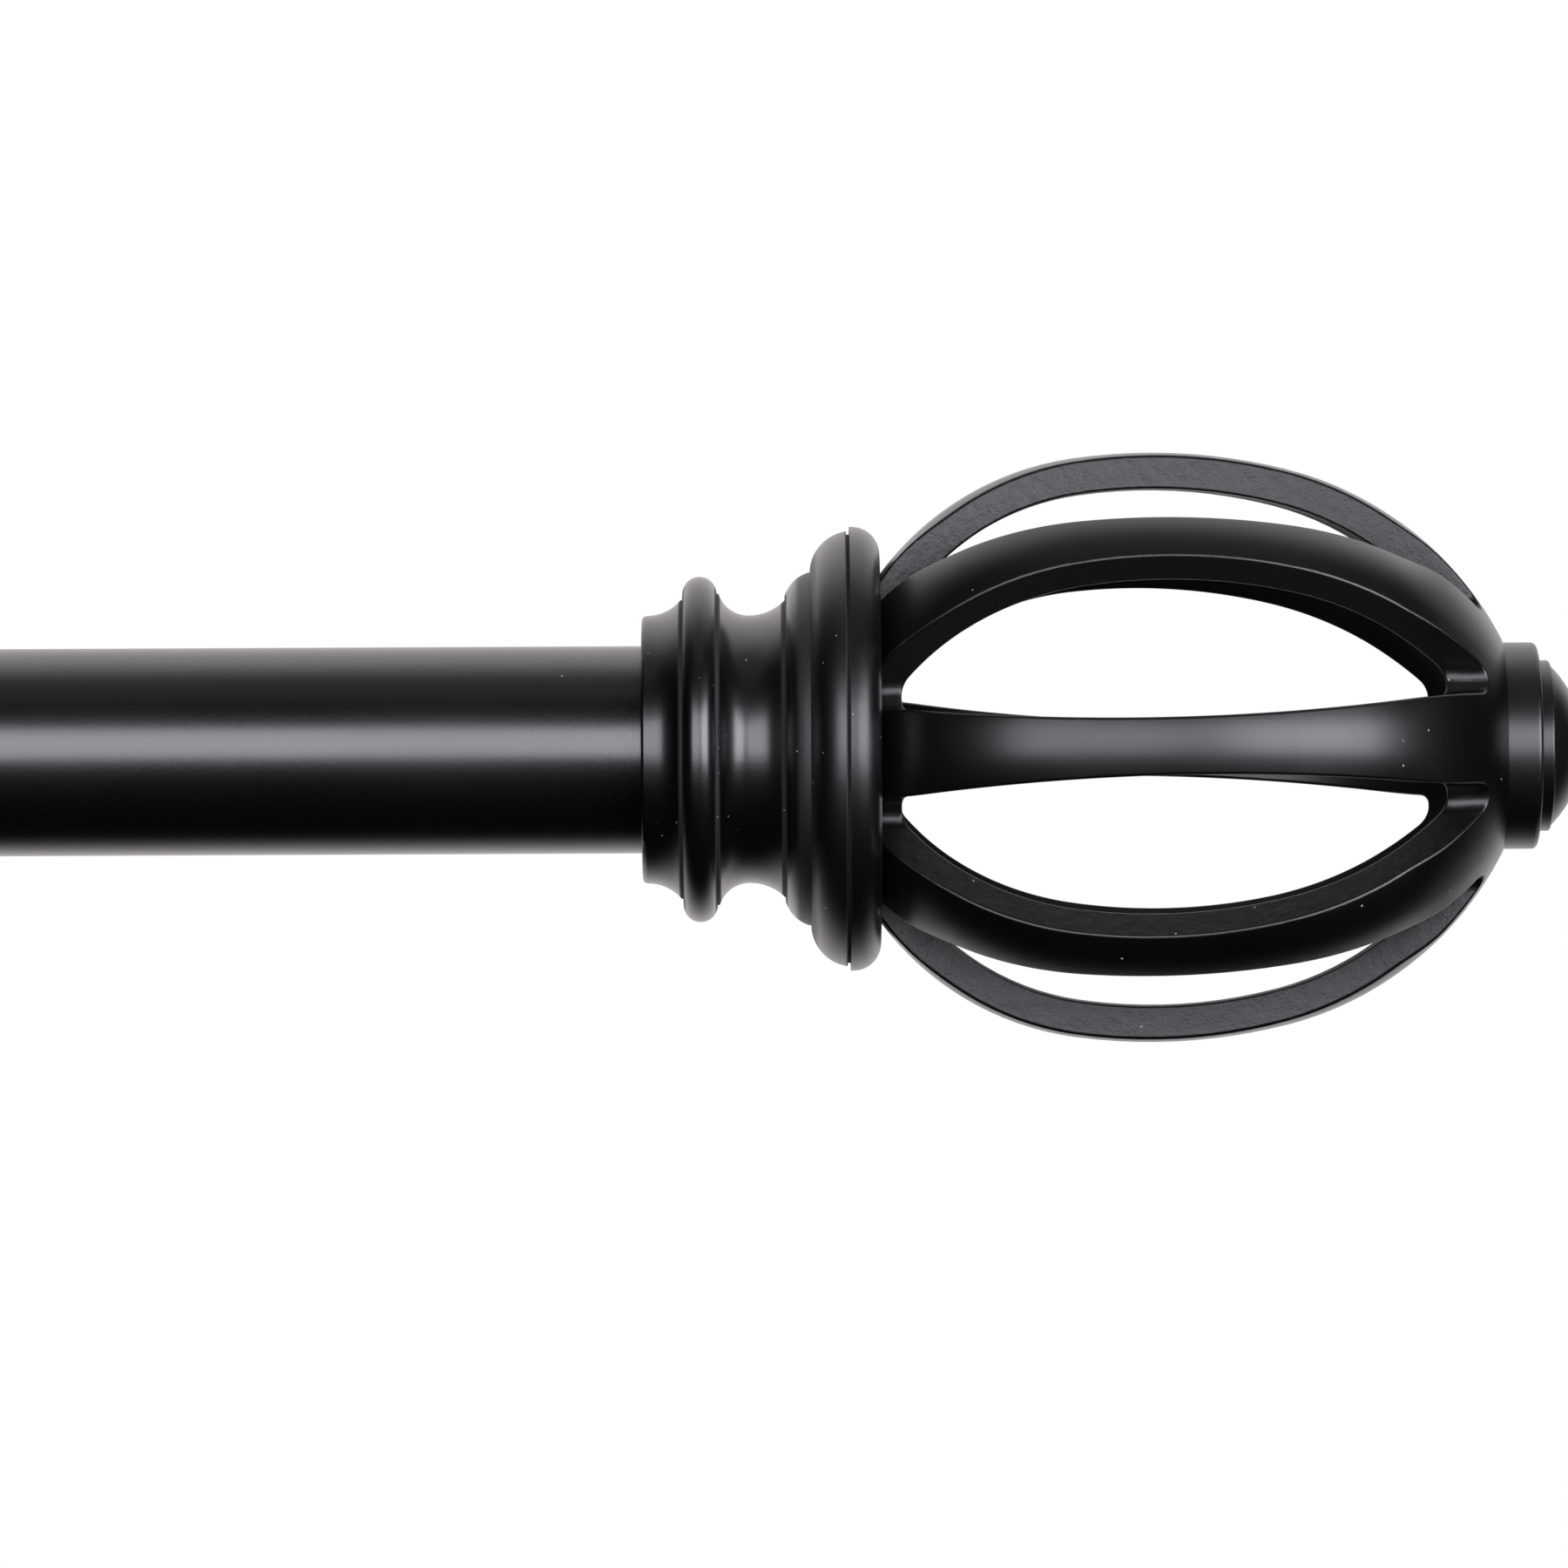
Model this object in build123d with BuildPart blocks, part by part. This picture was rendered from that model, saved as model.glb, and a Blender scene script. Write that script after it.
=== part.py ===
from build123d import *
from math import cos, hypot, radians, sin, sqrt, tan
import os

# Telescoping curtain rod with open cage finials, carried by two wall brackets.
# The origin is the middle of the right wall plate, on the wall. +X runs along the rod to the right,
# +Y into the wall and +Z up. Sizes are millimetres and degrees.

# Clearances, all on the radius or between two faces
SLIDE_CLEARANCE = 0.08
PRESS_CLEARANCE = 0.02
THREAD_CLEARANCE = 0.05
SCREW_CLEARANCE = 0.2
SEAT_GAP = 0.3

# How near two places count as one
TOLERANCE = 0.02

# Tubes
ROD_DIAMETER = 15.9
ROD_WALL = 0.7
OUTER_TUBE_LENGTH = 700.0
INNER_DIAMETER = 12.7
INNER_WALL = 0.7
INNER_TUBE_SETBACK = 10.0
REST_EXPOSED_LENGTH = 90.0
RIGHT_OVERHANG = 100.0

# Bushes between the tubes
MOUTH_BUSH_LENGTH = 14.0
MOUTH_LIP = 1.2
GUIDE_BUSH_LENGTH = 8.0
GUIDE_STUB_LENGTH = 12.0
GUIDE_STUB_WALL = 1.5

# Finial collar, from its mouth towards the tip
SOCKET_DEPTH = 11.2
NECK_WALL = 2.2
MOUTH_ROUND = 0.35
NECK_LENGTH = 2.95
NECK_FLARE = 1.2
QUIRK = 0.15
BEAD_RADIUS = 1.3
BEAD_CENTRE_RISE = 1.68
COVE_FRONT = 2.3
COVE_BACK = 2.75
COVE_BACK_RISE = 1.15
OVOLO_LENGTH = 1.95
OVOLO_STEP = 0.3
OVOLO_RISE = 1.85
OVOLO_BULGE = 0.36
FLANGE_STEP = 0.3
COLLAR_FLANGE_LENGTH = 3.0
COLLAR_FLANGE_RISE = 2.8
COLLAR_FLANGE_BULGE = 0.66
RECESS_DEPTH = 2.5
RECESS_WALL = 7.5

# Finial cage
SEAM_STEP = 0.35
SEAM_LAND = 0.2
SEAM_GROOVE = 0.25
CAGE_FLANGE_LENGTH = 2.26
CAGE_FLANGE_FALL = 2.55
CAGE_LENGTH = 47.5
CAGE_RADIUS = 22.55
CAGE_WALL = 2.73
CROWN_PLACE = 20.75
CROWN_ARC = 42.5
BASE_ARC = 22.2
BASE_ARC_ANGLE = 8.0
NOSE_ARC = 25.5
NOSE_ARC_ANGLE = 14.0
CAGE_BASE = 1.1
CAGE_NOSE = 2.5
RIB_COUNT = 8
RIB_WAIST_WIDTH = 4.34
RIB_BASE_WIDTH = 6.3
RIB_NOSE_WIDTH = 6.2
RIB_BASE_PLACE = 3.1
RIB_NOSE_PLACE = 39.5
RIB_END_FLARE = 0.15
RIB_LEAN = 1.35
RIB_EDGE = 0.22
RIB_INNER_EDGE = 0.2
WINDOW_FLOOR = 11.0
WINDOW_FLOOR_ROUND = 1.2

# Finial tip
TIP_RING_RADIUS = 7.9
TIP_RING_LENGTH = 2.7
TIP_RING_ROUND = 0.4
TIP_STEP_RADIUS = 6.53
TIP_STEP_LENGTH = 1.0
TIP_STEP_ROUND = 0.2
DOME_RADIUS = 6.2
DOME_HEIGHT = 2.65
TIP_SPIGOT_RADIUS = 2.5

# Finial screws
TIE_SCREW_RADIUS = 1.5
TIE_SCREW_BITE = 4.0
TIE_HEAD_RADIUS = 3.2
TIE_HEAD_HEIGHT = 2.0
TIE_SLOT_REACH = 1.8
TIE_SLOT_WIDTH = 0.9
TIE_SLOT_DEPTH = 1.2
GRUB_RADIUS = 2.0
GRUB_SINK = 0.8
GRUB_SOCKET_ACROSS = 2.0
GRUB_SOCKET_DEPTH = 1.8

# Wall brackets
PROJECTION = 75.0
LEFT_BRACKET_INSET = 28.0
PLATE_WIDTH = 24.0
PLATE_HEIGHT = 66.0
PLATE_THICKNESS = 3.0
PLATE_EDGE = 0.8
MOUNT_HOLE_RADIUS = 2.25
MOUNT_HOLE_SPACING = 44.0
ARM_RADIUS = 5.0
ARM_FOOT_RADIUS = 9.0
ARM_FOOT_HEIGHT = 3.5
ARM_FOOT_ROUND = 2.0
ARM_SPIGOT_RADIUS = 3.0
ARM_SPIGOT_LENGTH = 4.4
ARM_SCREW_RADIUS = 2.5
ARM_SCREW_BITE = 11.0
ARM_SCREW_HEAD_RADIUS = 4.6
COUNTERSINK_ANGLE = 90.0
ARM_SCREW_SOCKET_ACROSS = 3.0
ARM_SCREW_SOCKET_DEPTH = 1.6
CRADLE_WIDTH = 14.0
CRADLE_WALL = 3.2
CRADLE_BACK_HEIGHT = 8.0
CRADLE_FRONT_HEIGHT = 4.0
CRADLE_PAD_RADIUS = 6.5
CRADLE_PAD_HEIGHT = 2.0
CRADLE_BOSS_RADIUS = 4.5
CRADLE_BOSS_HEIGHT = 4.0
CRADLE_LIP_ROUND = 1.2
THUMB_RADIUS = 2.0
THUMB_GAP = 0.5
THUMB_COLLAR_RADIUS = 3.75
THUMB_COLLAR_HEIGHT = 1.6
THUMB_PADDLE_WIDTH = 13.0
THUMB_PADDLE_HEIGHT = 9.0
THUMB_PADDLE_THICKNESS = 2.4
THUMB_PADDLE_CORNER = 3.5

# Radii that the fits share
rod_radius = ROD_DIAMETER / 2
rod_bore = rod_radius - ROD_WALL
inner_radius = INNER_DIAMETER / 2
inner_bore = inner_radius - INNER_WALL
socket_radius = rod_radius + SLIDE_CLEARANCE
engagement = SOCKET_DEPTH - SEAT_GAP

# Places along the rod
right_mouth = RIGHT_OVERHANG
outer_right = right_mouth + engagement
outer_left = outer_right - OUTER_TUBE_LENGTH
left_mouth = outer_left - MOUTH_LIP - SEAT_GAP - REST_EXPOSED_LENGTH
inner_left = left_mouth - engagement
inner_right = inner_left + OUTER_TUBE_LENGTH - INNER_TUBE_SETBACK
bracket_places = {"right": 0.0, "left": outer_left + LEFT_BRACKET_INSET}

# Places along the finial, from the collar's mouth towards the tip
neck_radius = socket_radius + NECK_WALL
bead_start = NECK_LENGTH + QUIRK
bead_end = bead_start + 2 * BEAD_RADIUS
cove_start = bead_end + QUIRK
cove_low = cove_start + COVE_FRONT
cove_end = cove_low + COVE_BACK
ovolo_end = cove_end + OVOLO_LENGTH
seam = ovolo_end + COLLAR_FLANGE_LENGTH
groove = seam - SEAM_GROOVE
flange_face = seam + CAGE_FLANGE_LENGTH
nose = flange_face + CAGE_LENGTH

# Radii along the finial
neck_top = neck_radius + NECK_FLARE
bead_centre = neck_radius + BEAD_CENTRE_RISE
cove_lip = neck_radius + COVE_BACK_RISE
ovolo_foot = cove_lip + OVOLO_STEP
ovolo_top = ovolo_foot + OVOLO_RISE
flange_foot = ovolo_top + FLANGE_STEP
collar_flange = flange_foot + COLLAR_FLANGE_RISE
cage_flange = collar_flange + SEAM_STEP
recess_radius = collar_flange - RECESS_WALL
recess_floor = seam - RECESS_DEPTH

# The cage's outline: a crown arc, and one tangent arc on each side of it
crown = flange_face + CROWN_PLACE
crown_centre = CAGE_RADIUS - CROWN_ARC
base_turn = radians(BASE_ARC_ANGLE)
nose_turn = radians(NOSE_ARC_ANGLE)
base_centre_u = crown - (CROWN_ARC - BASE_ARC) * sin(base_turn)
base_centre_r = crown_centre + (CROWN_ARC - BASE_ARC) * cos(base_turn)
nose_centre_u = crown + (CROWN_ARC - NOSE_ARC) * sin(nose_turn)
nose_centre_r = crown_centre + (CROWN_ARC - NOSE_ARC) * cos(nose_turn)
rib_pitch = 360 / RIB_COUNT
half_pitch = radians(rib_pitch / 2)


def cage_radius(u, depth):
    """Radius of the cage's outline at u, the given depth under its outer face."""
    if u < crown - (CROWN_ARC - depth) * sin(base_turn):
        return base_centre_r + sqrt((BASE_ARC - depth) ** 2 - (u - base_centre_u) ** 2)
    if u > crown + (CROWN_ARC - depth) * sin(nose_turn):
        return nose_centre_r + sqrt((NOSE_ARC - depth) ** 2 - (u - nose_centre_u) ** 2)
    return crown_centre + sqrt((CROWN_ARC - depth) ** 2 - (u - crown) ** 2)


def cage_outline(plane, start, end, depth):
    """Half section of the cage between two places along its axis, the given depth under its outer face."""
    base_join = crown - (CROWN_ARC - depth) * sin(base_turn)
    nose_join = crown + (CROWN_ARC - depth) * sin(nose_turn)
    places = (start, (start + base_join) / 2, base_join, crown, nose_join, (nose_join + end) / 2, end)
    a, b, c, d, e, f, g = [(u, cage_radius(u, depth)) for u in places]
    with BuildSketch(plane) as section:
        with BuildLine():
            Line((start, 0), a)
            ThreePointArc(a, b, c)
            ThreePointArc(c, d, e)
            ThreePointArc(e, f, g)
            Polyline(g, (end, 0), (start, 0))
        make_face()
    return section.sketch


def window_half_width(rib_width, height):
    """Half the gap between two ribs, at the given height from the axis."""
    return height * tan(half_pitch) - rib_width / 2 / cos(half_pitch)


def window_outline(height):
    """The gap between two ribs, seen towards the axis, at the given height from the axis."""
    base_u = flange_face + RIB_BASE_PLACE
    nose_u = flange_face + RIB_NOSE_PLACE
    waist_u = (base_u + nose_u) / 2
    base_half = window_half_width(RIB_BASE_WIDTH, height)
    nose_half = window_half_width(RIB_NOSE_WIDTH, height)
    waist_half = window_half_width(RIB_WAIST_WIDTH, height)
    start = (seam, base_half - RIB_END_FLARE)
    end = (nose + TIP_RING_LENGTH, nose_half - RIB_END_FLARE)
    with BuildSketch(Plane(origin=(0, height, 0), x_dir=(1, 0, 0), z_dir=(0, 1, 0))) as gap:
        with BuildLine() as half:
            edge = ThreePointArc((base_u, base_half), (waist_u, waist_half), (nose_u, nose_half))
            TangentArc((base_u, base_half), start, tangent=edge % 0 * -1)
            TangentArc((nose_u, nose_half), end, tangent=edge % 1)
            Line(start, (start[0], 0))
            Line(end, (end[0], 0))
            mirror(half.line, about=Plane.XZ)
        make_face()
    return gap.sketch


def meets_cage_face(edge, plane, depth):
    """Whether an edge lies on the cage's round face at the given depth, between its two ends."""
    middle = plane.to_local_coords(edge.position_at(0.5))
    if not flange_face + TOLERANCE < middle.X < nose - TOLERANCE or edge.geom_type == GeomType.CIRCLE:
        return False
    return abs(hypot(middle.Y, middle.Z) - cage_radius(middle.X, depth)) < TOLERANCE


def along_rod(x, direction):
    """Plane whose X axis runs along the rod's axis, and whose Y axis points up."""
    return Plane(origin=(x, -PROJECTION, 0), x_dir=(direction, 0, 0), z_dir=(0, -direction, 0))


os.makedirs("parts", exist_ok=True)

# Outer tube: thin steel, carried by both cradles
with BuildPart() as outer_tube:
    with BuildSketch(Plane.YZ.offset(outer_left)):
        with Locations((-PROJECTION, 0)):
            Circle(rod_radius)
            Circle(rod_bore, mode=Mode.SUBTRACT)
    extrude(amount=OUTER_TUBE_LENGTH)
outer_tube.part.label = "outer_tube"
export_step(outer_tube.part, "parts/outer_tube.step")

# Inner tube: slides in the outer tube and sets the rod's length
with BuildPart() as inner_tube:
    with BuildSketch(Plane.YZ.offset(inner_left)):
        with Locations((-PROJECTION, 0)):
            Circle(inner_radius)
            Circle(inner_bore, mode=Mode.SUBTRACT)
    extrude(amount=inner_right - inner_left)
inner_tube.part.label = "inner_tube"
export_step(inner_tube.part, "parts/inner_tube.step")

# Mouth bush: pressed into the outer tube's left end, with a lip over the tube's edge
with BuildPart() as mouth_bush:
    with BuildSketch(Plane.YZ.offset(outer_left)):
        with Locations((-PROJECTION, 0)):
            Circle(rod_bore - PRESS_CLEARANCE)
    extrude(amount=MOUTH_BUSH_LENGTH)
    with BuildSketch(Plane.YZ.offset(outer_left)):
        with Locations((-PROJECTION, 0)):
            Circle(rod_radius)
    extrude(amount=-MOUTH_LIP)
    with BuildSketch(Plane.YZ.offset(outer_left - MOUTH_LIP)):
        with Locations((-PROJECTION, 0)):
            Circle(inner_radius + SLIDE_CLEARANCE)
    extrude(amount=MOUTH_LIP + MOUTH_BUSH_LENGTH, mode=Mode.SUBTRACT)
mouth_bush.part.label = "mouth_bush"
export_step(mouth_bush.part, "parts/mouth_bush.step")

# Guide bush: a stub in the inner tube's hidden end, with a head that runs in the outer tube
with BuildPart() as guide_bush:
    with BuildSketch(Plane.YZ.offset(inner_right)):
        with Locations((-PROJECTION, 0)):
            Circle(rod_bore - SLIDE_CLEARANCE)
    extrude(amount=GUIDE_BUSH_LENGTH)
    with BuildSketch(Plane.YZ.offset(inner_right)):
        with Locations((-PROJECTION, 0)):
            Circle(inner_bore - PRESS_CLEARANCE)
    extrude(amount=-GUIDE_STUB_LENGTH)
    with BuildSketch(Plane.YZ.offset(inner_right - GUIDE_STUB_LENGTH)):
        with Locations((-PROJECTION, 0)):
            Circle(inner_bore - PRESS_CLEARANCE - GUIDE_STUB_WALL)
    extrude(amount=GUIDE_STUB_LENGTH + GUIDE_BUSH_LENGTH, mode=Mode.SUBTRACT)
guide_bush.part.label = "guide_bush"
export_step(guide_bush.part, "parts/guide_bush.step")

# Adapter sleeve: brings the inner tube's left end up to the outer tube's diameter
with BuildPart() as adapter_sleeve:
    with BuildSketch(Plane.YZ.offset(inner_left)):
        with Locations((-PROJECTION, 0)):
            Circle(rod_radius)
            Circle(inner_radius + PRESS_CLEARANCE, mode=Mode.SUBTRACT)
    extrude(amount=engagement)
adapter_sleeve.part.label = "adapter_sleeve"
export_step(adapter_sleeve.part, "parts/adapter_sleeve.step")

# One gap between two ribs, lying above the axis of a finial whose mouth is at the origin.
# Its side walls follow the ribs beside it, and it leans a little about its own middle.
lean_axis = Axis((crown, 0, 0), (0, 1, 0))
with BuildPart() as window:
    loft([window_outline(WINDOW_FLOOR), window_outline(CAGE_RADIUS + CAGE_WALL)], ruled=True)
    floor = window.faces().sort_by(Axis.Y)[0]
    long_edges = floor.edges().filter_by(lambda edge: abs(edge.tangent_at(0.5).X) > sin(half_pitch))
    fillet(long_edges, WINDOW_FLOOR_ROUND)
window_cut = window.part.rotate(lean_axis, RIB_LEAN)

for side, mouth, direction in (("right", right_mouth, 1), ("left", left_mouth, -1)):
    finial = along_rod(mouth, direction)
    finial_axis = Axis(finial.origin, finial.x_dir)
    bead_middle = finial.from_local_coords(Vector(bead_start + BEAD_RADIUS, 0, 0))
    towards_wall = Plane(origin=bead_middle, x_dir=(1, 0, 0), z_dir=(0, 1, 0))

    # Collar: a turned ring with the socket for the rod, a web, and a recess for the cage's boss
    with BuildPart() as collar:
        with BuildSketch(finial):
            with BuildLine():
                TangentArc((0, neck_radius - MOUTH_ROUND), (MOUTH_ROUND, neck_radius), tangent=(0, 1))
                TangentArc((MOUTH_ROUND, neck_radius), (NECK_LENGTH, neck_top), tangent=(1, 0))
                Polyline(
                    (NECK_LENGTH, neck_top),
                    (bead_start, neck_top),
                    (bead_start, bead_centre),
                )
                TangentArc((bead_start, bead_centre), (bead_end, bead_centre), tangent=(0, 1))
                Line((bead_end, bead_centre), (cove_start, bead_centre))
                TangentArc((cove_low, neck_radius), (cove_start, bead_centre), tangent=(-1, 0))
                TangentArc((cove_low, neck_radius), (cove_end, cove_lip), tangent=(1, 0))
                Line((cove_end, cove_lip), (cove_end, ovolo_foot))
                SagittaArc((cove_end, ovolo_foot), (ovolo_end, ovolo_top), OVOLO_BULGE)
                Line((ovolo_end, ovolo_top), (ovolo_end, flange_foot))
                SagittaArc((ovolo_end, flange_foot), (groove, collar_flange), COLLAR_FLANGE_BULGE)
                Polyline(
                    (groove, collar_flange),
                    (groove, collar_flange - SEAM_GROOVE),
                    (seam, collar_flange - SEAM_GROOVE),
                    (seam, recess_radius),
                    (recess_floor, recess_radius),
                    (recess_floor, TIE_SCREW_RADIUS + SCREW_CLEARANCE),
                    (SOCKET_DEPTH, TIE_SCREW_RADIUS + SCREW_CLEARANCE),
                    (SOCKET_DEPTH, socket_radius),
                    (0, socket_radius),
                    (0, neck_radius - MOUTH_ROUND),
                )
            make_face()
        revolve(axis=finial_axis)
        with BuildSketch(towards_wall):
            Circle(GRUB_RADIUS + THREAD_CLEARANCE)
        extrude(amount=bead_centre + BEAD_RADIUS, mode=Mode.SUBTRACT)
    collar.part.label = f"finial_collar_{side}"
    export_step(collar.part, f"parts/{collar.part.label}.step")

    # Cage: a shell with a gap between each two ribs, then the flange and the boss in the collar
    with BuildPart() as cage:
        revolve(cage_outline(finial, flange_face, nose, 0), axis=finial_axis)
        cavity = cage_outline(finial, flange_face + CAGE_BASE, nose - CAGE_NOSE, CAGE_WALL)
        revolve(cavity, axis=finial_axis, mode=Mode.SUBTRACT)
        for turn in range(RIB_COUNT):
            with Locations(finial.location * Location((0, 0, 0), ((turn + 0.5) * rib_pitch, 0, 0))):
                add(window_cut, mode=Mode.SUBTRACT)
        fillet(cage.edges().filter_by(lambda edge: meets_cage_face(edge, finial, 0)), RIB_EDGE)
        fillet(cage.edges().filter_by(lambda edge: meets_cage_face(edge, finial, CAGE_WALL)), RIB_INNER_EDGE)
        with BuildSketch(finial):
            with BuildLine():
                Line((seam, cage_flange), (seam + SEAM_LAND, cage_flange))
                TangentArc(
                    (seam + SEAM_LAND, cage_flange),
                    (flange_face, cage_flange - CAGE_FLANGE_FALL),
                    tangent=(1, 0),
                )
                Polyline(
                    (flange_face, cage_flange - CAGE_FLANGE_FALL),
                    (flange_face, 0),
                    (recess_floor + PRESS_CLEARANCE, 0),
                    (recess_floor + PRESS_CLEARANCE, recess_radius - PRESS_CLEARANCE),
                    (seam, recess_radius - PRESS_CLEARANCE),
                    (seam, cage_flange),
                )
            make_face()
        revolve(axis=finial_axis)
        with BuildSketch(along_rod(mouth + direction * recess_floor, direction)):
            with BuildLine():
                Polyline(
                    (0, 0),
                    (0, TIE_SCREW_RADIUS + THREAD_CLEARANCE),
                    (TIE_SCREW_BITE + SEAT_GAP, TIE_SCREW_RADIUS + THREAD_CLEARANCE),
                    (TIE_SCREW_BITE + SEAT_GAP, 0),
                    close=True,
                )
            make_face()
        revolve(axis=finial_axis, mode=Mode.SUBTRACT)
        with BuildSketch(along_rod(mouth + direction * (nose - CAGE_NOSE), direction)):
            Rectangle(CAGE_NOSE, TIP_SPIGOT_RADIUS + PRESS_CLEARANCE, align=(Align.MIN, Align.MIN))
        revolve(axis=finial_axis, mode=Mode.SUBTRACT)
    cage.part.label = f"finial_cage_{side}"
    export_step(cage.part, f"parts/{cage.part.label}.step")

    # Tip: a stepped button with a spigot pressed into the cage's nose
    with BuildPart() as tip:
        with BuildSketch(along_rod(mouth + direction * nose, direction)):
            step = TIP_RING_LENGTH + TIP_STEP_LENGTH
            with BuildLine():
                Polyline(
                    (0, TIP_SPIGOT_RADIUS),
                    (0, TIP_RING_RADIUS),
                    (TIP_RING_LENGTH - TIP_RING_ROUND, TIP_RING_RADIUS),
                )
                TangentArc(
                    (TIP_RING_LENGTH - TIP_RING_ROUND, TIP_RING_RADIUS),
                    (TIP_RING_LENGTH, TIP_RING_RADIUS - TIP_RING_ROUND),
                    tangent=(1, 0),
                )
                Polyline(
                    (TIP_RING_LENGTH, TIP_RING_RADIUS - TIP_RING_ROUND),
                    (TIP_RING_LENGTH, TIP_STEP_RADIUS),
                    (step - TIP_STEP_ROUND, TIP_STEP_RADIUS),
                )
                TangentArc(
                    (step - TIP_STEP_ROUND, TIP_STEP_RADIUS),
                    (step, TIP_STEP_RADIUS - TIP_STEP_ROUND),
                    tangent=(1, 0),
                )
                Line((step, TIP_STEP_RADIUS - TIP_STEP_ROUND), (step, DOME_RADIUS))
                TangentArc((step + DOME_HEIGHT, 0), (step, DOME_RADIUS), tangent=(0, 1))
                Polyline(
                    (step + DOME_HEIGHT, 0),
                    (SEAT_GAP - CAGE_NOSE, 0),
                    (SEAT_GAP - CAGE_NOSE, TIP_SPIGOT_RADIUS),
                    (0, TIP_SPIGOT_RADIUS),
                )
            make_face()
        revolve(axis=finial_axis)
    tip.part.label = f"finial_tip_{side}"
    export_step(tip.part, f"parts/{tip.part.label}.step")

    # Tie screw: from the socket's floor through the web into the cage's boss
    with BuildPart() as tie_screw:
        with BuildSketch(along_rod(mouth + direction * SOCKET_DEPTH, direction)):
            Rectangle(
                recess_floor - SOCKET_DEPTH + TIE_SCREW_BITE,
                TIE_SCREW_RADIUS,
                align=(Align.MIN, Align.MIN),
            )
            Rectangle(TIE_HEAD_HEIGHT, TIE_HEAD_RADIUS, align=(Align.MAX, Align.MIN))
        revolve(axis=finial_axis)
        head = tie_screw.faces().filter_by(GeomType.PLANE).sort_by(Axis.X)[0 if direction > 0 else -1]
        with BuildSketch(Plane(origin=head.center(), x_dir=(0, 1, 0), z_dir=(-direction, 0, 0))):
            Rectangle(2 * TIE_SLOT_REACH, TIE_SLOT_WIDTH)
            Rectangle(TIE_SLOT_WIDTH, 2 * TIE_SLOT_REACH)
        extrude(amount=-TIE_SLOT_DEPTH, mode=Mode.SUBTRACT)
    tie_screw.part.label = f"finial_tie_screw_{side}"
    export_step(tie_screw.part, f"parts/{tie_screw.part.label}.step")

    # Grub screw: in the bead, on the side that faces the wall, with a hexagon socket
    grub_inside = rod_radius + SEAT_GAP
    grub_outside = bead_centre + BEAD_RADIUS - GRUB_SINK
    with BuildPart() as grub_screw:
        with BuildSketch(towards_wall.offset(grub_inside)):
            Circle(GRUB_RADIUS)
        extrude(amount=grub_outside - grub_inside)
        with BuildSketch(towards_wall.offset(grub_outside)):
            RegularPolygon(GRUB_SOCKET_ACROSS / 2, 6, major_radius=False)
        extrude(amount=-GRUB_SOCKET_DEPTH, mode=Mode.SUBTRACT)
    grub_screw.part.label = f"finial_grub_screw_{side}"
    export_step(grub_screw.part, f"parts/{grub_screw.part.label}.step")

# Radii and places of the cradles, about the rod's axis
cradle_bore = rod_radius + SEAT_GAP
cradle_outside = cradle_bore + CRADLE_WALL
cradle_back = -PROJECTION + cradle_outside + CRADLE_PAD_HEIGHT
thumb_head = -(cradle_outside + CRADLE_BOSS_HEIGHT + THUMB_GAP)
paddle_top = thumb_head - THUMB_COLLAR_HEIGHT

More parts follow.
